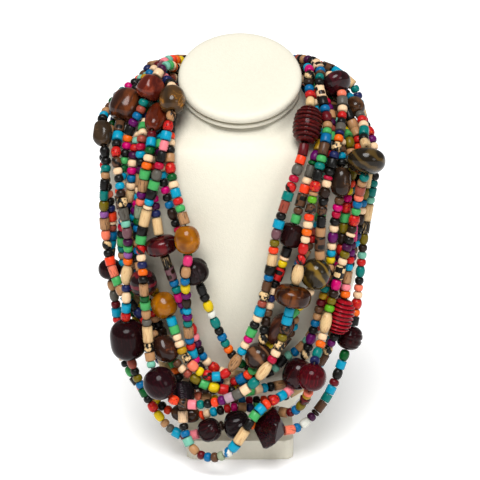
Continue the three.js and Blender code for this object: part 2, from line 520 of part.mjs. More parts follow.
function strandShape(strand) {
  const { nodes, beads } = strand;
  const points = nodes.map((node) => node.point);
  const rings = [];
  const side = new V3();
  let across = new V3(0, 0, 1);
  const addRing = (centre, along, radius) => {
    across = across.clone().addScaledVector(along, -across.dot(along)).normalize();
    side.crossVectors(along, across);
    rings.push(Array.from({ length: STRAND_SIDES }, (_, j) => {
      const turn = (2 * Math.PI * j) / STRAND_SIDES;
      return centre.clone().addScaledVector(across, radius * Math.cos(turn))
        .addScaledVector(side, radius * Math.sin(turn));
    }));
  };
  const entries = new Map(beads.map((bead) => [bead.entry, bead]));
  points.forEach((point, i) => {
    const before = points[Math.max(i - 1, 0)];
    const after = points[Math.min(i + 1, points.length - 1)];
    const along = after.clone().sub(before).normalize();
    const into = entries.get(i);
    const outOf = entries.get(i - 1);
    if (into || outOf) {
      const [a, b] = into ? [point, after] : [before, point];
      const thread = b.clone().sub(a).normalize();
      const bare = point.clone().addScaledVector(thread, into ? 0.25 : -0.25);
      if (into) addRing(point, thread, GROOVE_RADIUS);
      addRing(bare, thread, THREAD_RADIUS);
      if (outOf) addRing(point, thread, GROOVE_RADIUS);
      return;
    }
    const belly = i % 2 === 0 ? BEAD_RADIUS : GROOVE_RADIUS;
    addRing(point, along, isBare(strand, i) ? THREAD_RADIUS : belly);
  });
  return closedMesh(rings, points[0], points[points.length - 1]);
}

// ---------------------------------------------------------------- the object

const necklace = new THREE.Group();

function add(name, geometry, finish, parent = necklace) {
  const mesh = new THREE.Mesh(geometry, new THREE.MeshStandardMaterial(finish));
  mesh.name = name;
  parent.add(mesh);
  return mesh;
}

add('stand_base', baseShape(), LEATHERETTE);
add('bust_torso', torsoShape(), LEATHERETTE);

const neckTop = new THREE.Group();
neckTop.position.set(0, PAD.y, PAD.z);
neckTop.rotation.x = PAD.tilt;
necklace.add(neckTop);
add('neck_pad', padShape(), LEATHERETTE, neckTop);
add('neck_piping', new THREE.TorusGeometry(PIPING.ring, PIPING.tube, 6, BUST_SEGMENTS),
  LEATHERETTE, neckTop).position.z = -PAD.thickness - PIPING.tube - GAP;

strands.forEach((strand) => {
  add(strand.name, strandShape(strand), paint('#7a5a45'));
  strand.beads.forEach((bead) => {
    const [a, b] = [strand.nodes[bead.entry].point, strand.nodes[bead.entry + 1].point];
    const mesh = add(bead.name, largeBeadShape(bead), paint(bead.color, 0.25));
    mesh.position.copy(a).add(b).multiplyScalar(0.5);
    mesh.quaternion.setFromUnitVectors(new V3(0, 0, 1), b.clone().sub(a).normalize());
  });
});

const clasp = add('clasp', lathe([[0, -CLASP.halfLength], [CLASP.radius * 0.85, -CLASP.halfLength],
  [CLASP.radius, 0], [CLASP.radius * 0.85, CLASP.halfLength], [0, CLASP.halfLength]], 12),
paint('#4a3424', 0.4));
clasp.position.set(0, CLASP.y, CLASP.z);
clasp.rotation.y = Math.PI / 2;

export default necklace;
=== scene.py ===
"""A necklace of eleven strings of small beads, with large wooden beads between them, on a neck bust."""
import json
import math
import random

import bmesh
import bpy
from bpy.props import FloatProperty, FloatVectorProperty, IntProperty, PointerProperty
from mathutils import Matrix, Vector, noise

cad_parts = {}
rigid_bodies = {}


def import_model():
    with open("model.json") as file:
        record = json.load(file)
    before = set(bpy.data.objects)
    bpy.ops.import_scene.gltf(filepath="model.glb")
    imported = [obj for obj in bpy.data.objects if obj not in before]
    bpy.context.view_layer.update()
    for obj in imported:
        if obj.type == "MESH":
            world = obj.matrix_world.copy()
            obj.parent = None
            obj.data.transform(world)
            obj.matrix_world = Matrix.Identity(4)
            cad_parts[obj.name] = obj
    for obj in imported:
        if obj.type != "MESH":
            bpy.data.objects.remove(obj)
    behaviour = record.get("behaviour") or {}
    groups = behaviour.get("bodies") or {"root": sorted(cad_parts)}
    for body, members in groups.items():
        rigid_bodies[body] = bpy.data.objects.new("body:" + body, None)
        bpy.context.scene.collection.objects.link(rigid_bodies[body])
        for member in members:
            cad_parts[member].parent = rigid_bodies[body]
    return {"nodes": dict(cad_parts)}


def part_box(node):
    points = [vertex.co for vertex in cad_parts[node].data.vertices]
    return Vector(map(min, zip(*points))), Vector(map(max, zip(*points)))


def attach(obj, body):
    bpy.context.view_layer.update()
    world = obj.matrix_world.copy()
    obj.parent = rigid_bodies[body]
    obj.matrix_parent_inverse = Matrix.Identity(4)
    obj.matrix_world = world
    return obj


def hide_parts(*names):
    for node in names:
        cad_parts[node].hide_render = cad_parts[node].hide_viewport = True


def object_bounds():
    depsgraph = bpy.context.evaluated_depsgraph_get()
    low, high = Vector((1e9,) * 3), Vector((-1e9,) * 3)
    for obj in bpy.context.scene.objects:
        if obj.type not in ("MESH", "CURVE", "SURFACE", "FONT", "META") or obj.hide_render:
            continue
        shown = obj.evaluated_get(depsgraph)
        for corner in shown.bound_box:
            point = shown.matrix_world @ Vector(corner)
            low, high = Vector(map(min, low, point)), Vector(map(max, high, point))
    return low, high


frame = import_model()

bl_info = {
    "name": "Beaded necklace on a bust",
    "version": (1, 0, 0),
    "blender": (4, 5, 0),
    "location": "View3D > Sidebar > Necklace",
    "description": "Makes the looks of a beaded necklace and its bust around their packed frame",
    "category": "Object",
}

NODES = frame["nodes"]
MM = 0.001
WELD = 0.002 * MM  # corners of a CAD node's triangles that are the same point
LOCAL = 10 * MM  # unit of the large beads' own coordinates

for left_over in ("Cube", "Light", "Camera"):
    if left_over in bpy.data.objects:
        bpy.data.objects.remove(bpy.data.objects[left_over])
CAD_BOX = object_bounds()


# ---------------- settings
class NecklaceSizes(bpy.types.PropertyGroup):
    """Sizes that are finer than the frame's solids."""
    bead_girth: FloatProperty(
        name="Bead girth", description="Radius of a usual small bead across its thread",
        default=3.22 * MM, min=1 * MM, max=5 * MM, unit="LENGTH")
    thread: FloatProperty(
        name="Thread", description="Radius of the waxed thread in the beads",
        default=0.45 * MM, min=0.1 * MM, max=1 * MM, unit="LENGTH")
    hole: FloatProperty(
        name="Hole", description="Radius of the hole through a large bead",
        default=1.15 * MM, min=0.6 * MM, max=3 * MM, unit="LENGTH")
    around: IntProperty(
        name="Round a large bead", description="Faces round a large bead", default=56, min=12, max=96)
    seed: IntProperty(name="Seed", description="Picks the beads that no chart names", default=7)


class NecklaceFinish(bpy.types.PropertyGroup):
    """Finishes that a user would change."""
    leatherette: FloatVectorProperty(
        name="Leatherette", description="Colour of the bust's cover", subtype="COLOR", size=3,
        default=(0.7, 0.665, 0.55), min=0, max=1)
    polish: FloatProperty(
        name="Polish", description="Roughness of the large beads' polish", default=0.2, min=0, max=1)
    wear: FloatProperty(
        name="Wear", description="How far the small beads' paint is rubbed and dulled",
        default=0.35, min=0, max=1, subtype="FACTOR")


class NecklaceStage(bpy.types.PropertyGroup):
    """Floor, light and camera."""
    floor: FloatVectorProperty(
        name="Floor", description="Colour of the floor", subtype="COLOR", size=3,
        default=(0.98, 0.98, 0.98), min=0, max=1)
    distance: FloatProperty(
        name="Distance", description="From the camera to the middle of the bust", default=1.15,
        min=0.3, max=5, unit="LENGTH")
    elevation: FloatProperty(
        name="Elevation", description="How far the camera looks down", default=math.radians(20),
        min=0, max=math.radians(80), subtype="ANGLE")
    width: FloatProperty(
        name="Width", description="Width of the view where it meets the bust", default=0.3264,
        min=0.1, max=2, unit="LENGTH")
    light: FloatProperty(
        name="Light", description="Scale of the studio lights", default=1, min=0, max=5)


# ---------------- colours and charts
def linear(code):
    """A linear colour from a six-digit one."""
    channels = [int(code[i:i + 2], 16) / 255 for i in (0, 2, 4)]
    return [c / 12.92 if c < 0.04045 else ((c + 0.055) / 1.055) ** 2.4 for c in channels]


PAINTS = {
    "tq": "0094B6", "bl": "006496", "nv": "1C2350", "te": "00736C", "mi": "74B8A0", "gr": "44A458",
    "dg": "00501F", "li": "5CA31C", "or": "F2421E", "og": "EA6410", "cr": "AE0A34", "re": "C01C1A",
    "dr": "5E0C14", "ma": "C40066", "hp": "D02E6A", "pk": "F0828C", "sa": "F07A5C", "pu": "5E0858",
    "pl": "400C38", "lc": "8A5296", "mv": "6E4A50", "ye": "DCBC0C", "ol": "70600C", "oc": "AE8412",
    "cm": "EFCBA2", "bo": "DFBC88", "ta": "B08258", "tc": "984636", "br": "5A3C28", "db": "281910",
    "bk": "131210", "gy": "5A564E", "sg": "909C80", "wh": "DCDCD0", "lp": "B0929C",
}
ACCENTS = {"bk": "bo", "cm": "db", "bo": "ta", "re": "bk", "br": "bk", "ta": "db", "tq": "wh",
           "wh": "bl"}
USUAL_ACCENT = "db"

# Letter: shape, length in millimetres, girth against the usual one, pattern.
CUTS = {
    "r": ("rondelle", 5.0, 1.0, "plain"),
    "d": ("rondelle", 2.8, 0.98, "plain"),
    "c": ("cylinder", 6.2, 1.07, "plain"),
    "t": ("cylinder", 8.6, 1.0, "grain"),
    "T": ("cylinder", 12.0, 1.05, "grain"),
    "b": ("barrel", 7.8, 1.04, "plain"),
    "L": ("long", 14.5, 1.18, "grain"),
    "n": ("nugget", 6.8, 1.08, "blotch"),
    "g": ("ribbed", 7.4, 1.0, "plain"),
    "s": ("barrel", 7.4, 1.1, "speckle"),
    "z": ("barrel", 6.8, 1.05, "rings"),
    "p": ("cylinder", 9.6, 1.06, "carved"),
}
PATTERNS = ["plain", "grain", "blotch", "speckle", "rings", "carved"]

# Small beads, in order from the left end round to the right. A run lies between two large beads:
# the beads after the first one, then those before the next, with a plain mix between if they fall
# short. Two letters name the paint and the third the cut.
CHARTS = {
    "strand_left_shoulder": [
        ("", "tas bkb drr cmr blr ocr bkr bkr"),
        ("brp tqc bkr res brz cmr bkr tqr dbr bkn gyt mir mvb plr grr lcr ogr boL nvr cmb tqc", ""),
        ("tcb bkr olr blr dgc bkr res crb", "cmt plb brr yeb tar gyr tqc drr pkt"),
        ("", ""), ("ogr", ""),
        ("sat blr whb plr dbd brt tec tqc drr bkb tqc dgb orc tac cmr tqc crc tqc pkr", ""),
        ("bkc ogr res cmr sar bkr teb rer mir dbr olb bkt boT mir tec ter bkr", "")],
    "strand_left_outer": [
        ("", "ter bkr dgr brr tar tqr bkr"),
        ("bkb bkr ter tar bkg teg olb lcr tat sab bkz bkr orc sat grc tab tqc bkc nvb tap grr",
         "bkr tar"),
        ("brr cmr tcr olb grc yeb rec bkr brn grc cmc tqr bkr", "cmr tqr brt bkz pur bkr"),
        ("ogr pkr tat tqr rer pur plr maT dgr cmr rer bkr tqr bkb", "")],
    "strand_left_front": [
        ("", "ogr orr mir pkr mvb blr pkr nvr bkr cmr"),
        ("taz res tqc pkg bkg crr gyb grc bkc tqr cmd boT bkc grc rez cmr nvr ogr bkr tat dgr grc "
         "tab gyr boT bkn tac mir dgr", ""),
        ("ors brn pkc ter bkr orr pur lpc gyc cmc teb boL crr cmr bkn olr brn tqc tqc olb", ""),
        ("boL rez reb cmr ogr cmr orr brn lir tad res bkg ter grr brt blc grr tar drb blr bkc cmp "
         "bkr ter brd blr cmp", "")],
    "strand_low_loop": [
        ("", "cmr bkr ter brr cmr tqr bkr mir"),
        ("drr tqc dgr cmr ogr grc tat pur sar sgt dgr blr bkr tar blr bkr", ""),
        ("cmr bkr tqr rer", "tqr grc ogr bkr"),
        ("brd cmt bkr blr mic tab drr blr brr sgr whz tqc boT bkg grc tqc orr res tqc pkc taz cmr", ""),
        ("bkz bkr pub bkr blr tar brr drr ocr ter brp taz yer tqr cmr pub cmr", ""),
        ("bkr tqr brr cmr blr", ""),
        ("dgr bkr cmr rer tqr", "")],
    "strand_left_second": [
        ("", "tqr cmr brr bkr rer ter olr bkr sar bkr nvr orc cmd tcr blc tqc bkt"),
        ("tab gyb drr tqc rer cmr", "grb bkc reb reb yer bkr orr"),
        ("ord cmr tqr bkr rer", "whr tac drr blr olb drn ocr sar"),
        ("nvr teb ogr cmr boL lir olr dbr mab bkp cmr olr plr bkr cmd dbr res grr blr sar tcc tar ter",
         ""),
        ("bot bkr tec cmr rer gyr bkg", ""),
        ("tqr bkr cmr drr ogr", "")],
    "strand_inner_vee": [
        ("", "bkr ogr cmr grr mir plr cmc"),
        ("ter tcr blr pur bkc ogr mar bkr grr dgr tqr cmr", "bkr tar blr gyr cmr bkr ocr"),
        ("tqc grc cmr cmr ocr bkn sab yer rez tqc reb taL tqr cmr mar grc bkr cmr tqc tcr bkn brg blr "
         "bkc bot orr olr mvb tqc bkr tct tec rez crr gyb orc drt cmr bkc tcr tec", ""),
        ("bob rer blr dbr bkz mab tqr", "")],
    "strand_inner_left": [
        ("", "cmr tqr bkr mar bkr blr dbb bkr crr yeb bkr dgr"),
        ("bkg bkr yeb whr teb bkr blr ter ogr bkr gyr dgr bkr grr cmr plr dbb ogr", "tqc rer mab yer"),
        ("grc yeb dgr cmr", ""),
        ("tac brp tac bkg brn bkr dbn cmr crd bkr bkc nvr bkn ogr nvd gyc bkr rer cmr gyc sar sgb sar "
         "bkr mid tqr yer", ""),
        ("cmr bkr rer bkr ter mir bkr cmr", "")],
    "strand_amber": [
        ("", "bkr orr cmr bkr tac res dgr cmr tqc rer grr tat"),
        ("hpb tab blr yeb pur dbb tqr pur ter tat blr rer", "cmr rer blc orr grr"),
        ("bkz bkr dbn brr cmr nvr cmr bkr rep yer cmd", ""),
        ("grc brr brp orc cmr gyt dgd pub oct bkr tqr cmr", ""),
        ("bkr cmr", "")],
    "strand_red_disc": [
        ("", "tqr brr cmr rer bkr tqc grr mar plr nvr boT"),
        ("bkt mvp blr ter mac pur blr yeb reb pkr plr bkr blr cmr", "maT rer cmr bkr blr tar pur ter")],
    "strand_between": [("", "")],
    "strand_rear": [("", "")],
}
MIX = ("bkr bkr bkr cmr cmr tqr tqc blr ter rer orr brr tar tac pur dgr grc yer mar bkc bkb olb crr "
       "nvr plr sar bot boT tat bkg res brp cmr tcr mir dbb").split()

# Large beads: form, dark and light wood, figure, number of grooves or ridges.
WOODS = {
    "bead_russet_barrel": ("barrel", "2A150C", "6A3416", "streak", 0),
    "bead_mahogany_cut": ("cut", "4A150D", "8C3820", "streak", 0),
    "bead_olive_vein": ("barrel", "2E2216", "94601F", "vein", 0),
    "bead_red_oval": ("barrel", "481809", "7A2F18", "streak", 0),
    "bead_grey_nugget": ("nugget", "2A2016", "5E452C", "vein", 0),
    "bead_plum_small": ("barrel", "1A080A", "380F14", "plain", 0),
    "bead_red_disc": ("disc", "220508", "5C0C12", "streak", 0),
    "bead_amber_upper": ("barrel", "6E3C04", "B26C04", "amber", 0),
    "bead_grooved_ball": ("swirl", "17100F", "38262A", "plain", 4),
    "bead_banded_ball": ("barrel", "1A0A0C", "6A1420", "band", 0),
    "bead_amber_lower": ("barrel", "744204", "B67006", "amber", 0),
    "bead_plum_barrel": ("barrel", "180709", "330D12", "plain", 0),
    "bead_russet_patch": ("nugget", "20110D", "5A2C18", "vein", 0),
    "bead_plum_sphere": ("barrel", "1A070B", "380D16", "plain", 0),
    "bead_fine_groove": ("turned", "151012", "3A2030", "plain", 13),
    "bead_long_barrel": ("barrel", "24150D", "5A3A22", "streak", 0),
    "bead_carved_left": ("swirl", "1A0C0D", "48191E", "plain", 5),
    "bead_dark_round": ("swirl", "0F0A0B", "2C161A", "plain", 5),
    "bead_faceted": ("facet", "160406", "4C0A14", "plain", 0),
    "bead_brown_small": ("barrel", "2A1A12", "5C3A26", "streak", 0),
    "bead_plum_lens": ("barrel", "1C070A", "46101A", "streak", 0),
    "bead_banded_barrel": ("barrel", "20160F", "66482E", "band", 0),
    "bead_brown_oval": ("barrel", "2E1C10", "6A4528", "streak", 0),
    "bead_hive_dark": ("hive", "3A0C0C", "7A221E", "plain", 9),
    "bead_brown_disc": ("barrel", "1A130A", "54401C", "tiger", 0),
    "bead_dark_barrel": ("barrel", "1B1410", "54361E", "vein", 0),
    "bead_square": ("square", "1A0A0A", "361414", "plain", 0),
    "bead_tiger_round": ("barrel", "241D10", "7E6222", "tiger", 0),
    "bead_chestnut_disc": ("disc", "240E05", "683510", "streak", 0),
    "bead_brown_long": ("barrel", "281410", "5C3220", "streak", 0),
    "bead_striped_round": ("barrel", "241712", "7A5236", "tiger", 0),
    "bead_plum_oval": ("barrel", "1A0608", "38090F", "streak", 0),
    "bead_plum_red": ("barrel", "38060C", "740E1C", "plain", 0),
    "bead_hive_red": ("hive", "7C0C18", "B81C26", "plain", 9),
    "bead_plum_grooved": ("turned", "1C0608", "440F14", "plain", 3),
}


# ---------------- node trees
def maths(operation, reflected=False):
    """A method of Value that adds a maths node."""
    def run(self, *values):
        values = (*values, self) if reflected else (self, *values)
        return self.tree.node("ShaderNodeMath", {"operation": operation}, dict(enumerate(values)))

    return run


class Value:
    """One output of a node, with Python's arithmetic on it."""
    __add__ = maths("ADD")
    __radd__ = maths("ADD", reflected=True)
    __sub__ = maths("SUBTRACT")
    __rsub__ = maths("SUBTRACT", reflected=True)
    __mul__ = maths("MULTIPLY")
    __rmul__ = maths("MULTIPLY", reflected=True)
    __gt__ = maths("GREATER_THAN")
    __lt__ = maths("LESS_THAN")
    __abs__ = maths("ABSOLUTE")
    sine = maths("SINE")
    angle_to = maths("ARCTAN2")
    least = maths("MINIMUM")

    def __init__(self, tree, socket):
        self.tree = tree
        self.socket = socket

    def other(self, name):
        """Another output of the same node."""
        return Value(self.tree, self.socket.node.outputs[name])

    def between(self, low, high, out_low=0.0, out_high=1.0):
        """The value's place from low to high, smoothed, between two others."""
        return self.tree.node("ShaderNodeMapRange", {"interpolation_type": "SMOOTHSTEP"},
                              {"Value": self, "From Min": low, "From Max": high,
                               "To Min": out_low, "To Max": out_high})


class Tree:
    """A node tree that is being made."""

    def __init__(self, tree):
        self.tree = tree

    def node(self, kind, settings=None, sockets=None, out=0):
        """Adds a node: its settings first, then its sockets' values or links."""
        node = self.tree.nodes.new(kind)
        for name, setting in (settings or {}).items():
            setattr(node, name, setting)
        for name, value in (sockets or {}).items():
            if isinstance(value, Value):
                self.tree.links.new(value.socket, node.inputs[name])
            elif isinstance(value, (tuple, list)):
                size = len(node.inputs[name].default_value)
                node.inputs[name].default_value = (list(value) + [1.0])[:size]
            else:
                node.inputs[name].default_value = value
        return Value(self, node.outputs[out]) if len(node.outputs) else None

    def mix(self, factor, first, second):
        """Two colours mixed."""
        return self.node("ShaderNodeMix", {"data_type": "RGBA"},
                         {0: factor, 6: first, 7: second}, out=2)

    def shade(self, colour, value):
        """A colour made lighter or darker."""
        return self.node("ShaderNodeVectorMath", {"operation": "SCALE"},
                         {0: colour, "Scale": value})

    def stretch(self, vector, scale, shift=0.0):
        """A vector scaled along each axis and then moved."""
        moved = self.node("ShaderNodeCombineXYZ", None, {0: shift, 1: shift, 2: shift})
        return self.node("ShaderNodeVectorMath", {"operation": "MULTIPLY_ADD"},
                         {0: vector, 1: scale, 2: moved})

    def noise(self, vector, scale, detail, distortion=0.0):
        """Soft clouds about 0.5."""
        return self.node("ShaderNodeTexNoise", None,
                         {"Vector": vector, "Scale": scale, "Detail": detail,
                          "Distortion": distortion})

    def cells(self, vector, scale):
        """How far the nearest of many scattered spots is."""
        return self.node("ShaderNodeTexVoronoi", None, {"Vector": vector, "Scale": scale})

    def bump(self, height, distance, strength):
        """A surface's direction, from fine heights on it."""
        return self.node("ShaderNodeBump", None,
                         {"Height": height, "Distance": distance, "Strength": strength})

    def split(self, vector):
        """A vector's X, with its Y and Z as others."""
        return self.node("ShaderNodeSeparateXYZ", None, {0: vector})

    def own(self, name, out="Vector"):
        """An attribute of the piece."""
        return self.node("ShaderNodeAttribute", {"attribute_name": name}, out=out)

    def place(self):
        """The piece's own coordinates, in metres."""
        return self.node("ShaderNodeTexCoord", out="Object")

    def surface(self, colour, roughness, **others):
        """Ends a material in its shader."""
        sockets = {"Base Color": colour, "Roughness": roughness}
        sockets.update({name.replace("_", " "): value for name, value in others.items()})
        shader = self.node("ShaderNodeBsdfPrincipled", None, sockets)
        self.node("ShaderNodeOutputMaterial", None, {"Surface": shader})


def new_material(name):
    """An empty material and its tree."""
    material = bpy.data.materials.new(name)
    material.use_nodes = True
    material.node_tree.nodes.clear()
    return material, Tree(material.node_tree)


# ---------------- materials
def bead_paint(wear):
    """Painted, stained and plain small beads: their paint and pattern come with each bead."""
    material, tree = new_material("small_bead_paint")
    local = tree.own("local")
    tint = tree.own("tint")
    accent = tree.own("accent")
    pattern = tree.own("pattern", "Fac")
    chance = tree.own("chance", "Fac")
    parts = tree.split(local)
    along = parts.other("Z")
    around = parts.other("Y").angle_to(parts)

    def worn(name):
        low = PATTERNS.index(name) - 0.5
        return (pattern > low) * (pattern < low + 1)

    streaks = tree.noise(tree.stretch(local, (3.2, 3.2, 0.55), chance * 60), 1.6, 3, 0.4)
    clouds = tree.noise(tree.stretch(local, (1, 1, 1), chance * 40), 1.5, 2)
    spots = tree.cells(tree.stretch(local, (1, 1, 1.3), chance * 30), 2.6)
    fine = tree.noise(tree.stretch(local, (1, 1, 1), chance * 20), 7, 3)
    zigzag = (around * 2).sine() * (along * 4.4).sine() + streaks * 0.8 - 0.52
    marks = (worn("grain") * streaks.between(0.5, 0.66) * 0.75
             + worn("blotch") * clouds.between(0.47, 0.56)
             + worn("speckle") * (spots < 0.34) * (clouds > 0.42)
             + worn("rings") * ((around * 2 + along * 2.6 + streaks * 5).sine() > 0.3)
             + worn("carved") * (zigzag > 0))
    spot_paint = tree.mix(clouds > 0.56, accent, linear(PAINTS["og"]))
    second = tree.mix(worn("speckle"), accent, spot_paint)
    colour = tree.mix(marks.least(1), tint, second)
    rubbed = fine.between(0.62, 0.74) * wear
    colour = tree.mix(rubbed, colour, tree.shade(colour, 0.45))
    # Painted shade: each bead is darker towards both ends, where it meets its neighbours.
    ends = abs(along).between(0.62, 1.05)
    colour = tree.shade(colour, (streaks * 0.36 + 0.7) * (1 - ends * 0.45))
    tree.surface(colour, fine * 0.2 + 0.2, Specular_IOR_Level=0.2,
                 Normal=tree.bump(fine + streaks * worn("grain") * 2, 0.00014, 0.4))
    return material


def figured(tree, local, figure, dark, light):
    """A large bead's colour with its wood's figure, and its fine grain."""
    fine = tree.noise(tree.stretch(local, (6, 6, 0.8)), 1.6, 3, 0.3)
    if figure == "streak":
        grain = tree.noise(tree.stretch(local, (1.3, 1.3, 0.3)), 1.1, 3, 1.2)
        share = grain.between(0.38, 0.72) * 0.9 + fine.between(0.5, 0.75) * 0.12
    elif figure == "vein":
        cloud = tree.noise(tree.stretch(local, (0.8, 0.8, 0.5)), 1.2, 2)
        ridge = abs(tree.noise(tree.stretch(local, (1, 1, 0.7)), 1.0, 2, 1.8) - 0.5)
        share = (ridge.between(0.03, 0.0) * cloud.between(0.5, 0.62)
                 + cloud.between(0.3, 0.75) * 0.3)
    elif figure == "tiger":
        wave = tree.node("ShaderNodeTexWave", {"bands_direction": "DIAGONAL"},
                         {"Vector": local, "Scale": 0.6, "Distortion": 6.0, "Detail": 2.0,
                          "Detail Scale": 0.9}, out="Fac")
        share = wave.between(0.5, 1.0) * 0.75 + fine.between(0.5, 0.8) * 0.1
    elif figure == "band":
        height = tree.split(local).other("Z")
        sway = tree.noise(local, 1.2, 2)
        share = (height * 8.5 + sway * 4).sine().between(0.1, 0.8) * 0.8
    elif figure == "amber":
        cloud = tree.noise(local, 1.0, 2, 0.5)
        dust = tree.noise(local, 12, 2)
        share = (cloud.between(0.3, 0.75) * 0.8
                 + dust.between(0.55, 0.7) * cloud.between(0.45, 0.6) * 0.5)
    else:
        share = fine.between(0.45, 0.75) * 0.5
    return tree.mix(share.least(1), dark, light), fine


def polished_wood(name, dark, light, figure, polish, ridge=None):
    """Polished wood or amber resin. ridge is the width of one ridge; its grooves get painted shade and
    its crests a painted highlight.
    """
    material, tree = new_material(name)
    local = tree.own("local")
    colour, fine = figured(tree, local, figure, linear(dark), linear(light))
    blemish = tree.noise(local, 1.6, 3)
    colour = tree.shade(colour, blemish * 0.4 + 0.8)
    if ridge:
        # Painted shade in the grooves, down to 0.14 of the wood's colour, and a painted highlight on
        # the crests, up to 1.25 of it.
        along = tree.split(local).other("Z")
        groove_shade_crest_light = abs((along * (math.pi / ridge) + math.pi / 2).sine())
        colour = tree.shade(colour, groove_shade_crest_light.between(0.1, 0.75, 0.14, 1.25))
    rough = blemish.between(0.3, 0.75, polish * 0.5, polish)
    tree.surface(colour, rough, Specular_IOR_Level=0.12 if figure == "plain" else 0.25,
                 Subsurface_Weight=0.15 if figure == "amber" else 0.0, Subsurface_Scale=4 * MM,
                 Normal=tree.bump(fine + blemish, 0.00006, 0.3))
    return material


def leatherette(colour):
    """Coated cloth with a fine pebble grain."""
    material, tree = new_material("leatherette")
    place = tree.place()
    pebbles = tree.cells(place, 1150)
    creases = tree.noise(place, 500, 3)
    clouds = tree.noise(place, 22, 3)
    tone = tree.shade(colour, clouds * 0.08 + creases * 0.1 + 0.91)
    tree.surface(tone, clouds.between(0.3, 0.7, 0.42, 0.55), Specular_IOR_Level=0.35,
                 Normal=tree.bump(creases * 0.5 - pebbles, 0.0002, 0.45))
    return material


def thread_wax():
    """Brown waxed thread."""
    material, tree = new_material("waxed_thread")
    twist = tree.noise(tree.stretch(tree.place(), (900, 900, 2600)), 1, 1)
    tree.surface(tree.mix(twist, linear("2A2018"), linear("5A4632")), 0.6 + twist * 0.2,
                 Normal=tree.bump(twist, 0.0001, 0.6))
    return material


def floor_paint(colour):
    """Pale floor that glows a little, so that it stays white round the shadow."""
    material, tree = new_material("floor")
    speckle = tree.noise(tree.place(), 60, 2)
    tree.surface(tree.shade(colour, speckle * 0.01 + 0.99), 0.8, Specular_IOR_Level=0.1,
                 Emission_Color=tuple(colour), Emission_Strength=0.16)
    return material


# ---------------- meshes
def merged(node):
    """A CAD node's mesh as a BMesh, with its loose triangles joined at their corners."""
    shape = bmesh.new()
    shape.from_mesh(NODES[node].data)
    bmesh.ops.remove_doubles(shape, verts=shape.verts, dist=WELD)
    return shape


def linked(name, data):
    """A new object in the scene."""
    made = bpy.data.objects.new(name, data)
    bpy.context.scene.collection.objects.link(made)
    return made


def new_piece(name, shape, material, smooth=True):
    """A piece from a BMesh."""
    mesh = bpy.data.meshes.new(name)
    bmesh.ops.recalc_face_normals(shape, faces=shape.faces)
    for face in shape.faces:
        face.smooth = smooth
    shape.to_mesh(mesh)
    shape.free()
    if material:
        mesh.materials.append(material)
    return linked(name, mesh)


def stands_for(piece, node):
    """Puts a piece in a CAD node's place."""
    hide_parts(node)
    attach(piece, "root")


def lathe(shape, profile, around, place, shift=None):
    """Turns a closed outline of (radius, height) round an axis. shift moves each point."""
    rings = []
    for radius, height in profile:
        ring = []
        for step in range(around):
            turn = 2 * math.pi * step / around
            point = Vector((radius * math.cos(turn), radius * math.sin(turn), height))
            if shift:
                point = shift(point, turn)
            ring.append(shape.verts.new(place @ point))
        rings.append(ring)
    for below, above in zip(rings, rings[1:] + rings[:1]):
        for step in range(around):
            after = (step + 1) % around
            shape.faces.new((below[step], below[after], above[after], above[step]))


def keep_local(piece, place, unit):
    """Stores each point's place on its bead, across and along its hole."""
    back = place.inverted()
    spots = [back @ vertex.co / unit for vertex in piece.data.vertices]
    store(piece.data, "local", "FLOAT_VECTOR", [spot[:] for spot in spots])


def store(mesh, name, kind, values):
    """Adds an attribute to a mesh's points."""
    layer = mesh.attributes.new(name, kind, "POINT")
    if kind == "FLOAT_VECTOR":
        layer.data.foreach_set("vector", [part for value in values for part in value])
    else:
        layer.data.foreach_set("value", values)


# ---------------- the strands' runs
class Strand:
    """A strand's thread and its runs of small beads, read back from its CAD node."""
    BARE = 1.2 * MM  # the tube is no thicker than this where it has no small beads
    SIDES = 5  # of the tube
    FLAT = 0.02 * MM  # how far the middle of a flat end is from its corners' middle

    def __init__(self, node):
        self.name = node
        rings = self.read_rings(node)
        self.thread = [centre for centre, radius in rings]
        self.runs = []
        beaded = False
        for centre, radius in rings:
            if radius > self.BARE:
                if not beaded:
                    self.runs.append([])
                self.runs[-1].append(centre)
            beaded = radius > self.BARE

    @staticmethod
    def read_rings(node):
        """The centre and radius of each ring of the node's tube, from the left clasp end."""
        shape = merged(node)
        caps = []
        for vertex in shape.verts:
            near = [edge.other_vert(vertex).co for edge in vertex.link_edges]
            middle = sum(near, Vector()) / len(near)
            if len(near) == Strand.SIDES and (middle - vertex.co).length < Strand.FLAT:
                caps.append(vertex)
        clasp_low, clasp_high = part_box("clasp")
        clasp = (clasp_low + clasp_high) / 2
        ends = sorted(caps, key=lambda vertex: (vertex.co - clasp).length)[:2]
        start = min(ends, key=lambda vertex: vertex.co.x)
        rings = []
        seen = {start}
        level = [start]
        while level:
            level = list({edge.other_vert(vertex) for vertex in level for edge in vertex.link_edges
                          if edge.other_vert(vertex) not in seen})
            seen.update(level)
            if len(level) > 1:
                centre = sum((vertex.co for vertex in level), Vector()) / len(level)
                radius = sum((vertex.co - centre).length for vertex in level) / len(level)
                rings.append((centre, radius))
        shape.free()
        return rings


class Path:
    """A smooth curve through points, measured along its length."""
    STEPS = 6

    def __init__(self, points):
        self.points = [points[0]]
        padded = [points[0] * 2 - points[1], *points, points[-1] * 2 - points[-2]]
        for before, start, end, after in zip(padded, padded[1:], padded[2:], padded[3:]):
            for step in range(1, self.STEPS + 1):
                t = step / self.STEPS
                bend = (2 * before - 5 * start + 4 * end - after) * t * t
                bend += (3 * start - before - 3 * end + after) * t ** 3
                self.points.append(start + ((end - before) * t + bend) / 2)
        self.lengths = [0.0]
        for start, end in zip(self.points, self.points[1:]):
            self.lengths.append(self.lengths[-1] + (end - start).length)
        self.length = self.lengths[-1]

    def at(self, distance):
        """The point at a distance from the start."""
        after = 1
        while after < len(self.lengths) - 1 and self.lengths[after] < distance:
            after += 1
        low, high = self.lengths[after - 1], self.lengths[after]
        return self.points[after - 1].lerp(self.points[after], (distance - low) / (high - low))


CROWDED = 1.04  # beads this much longer than their run are too many
SPARE = 2 * MM  # less than this is left free on a run


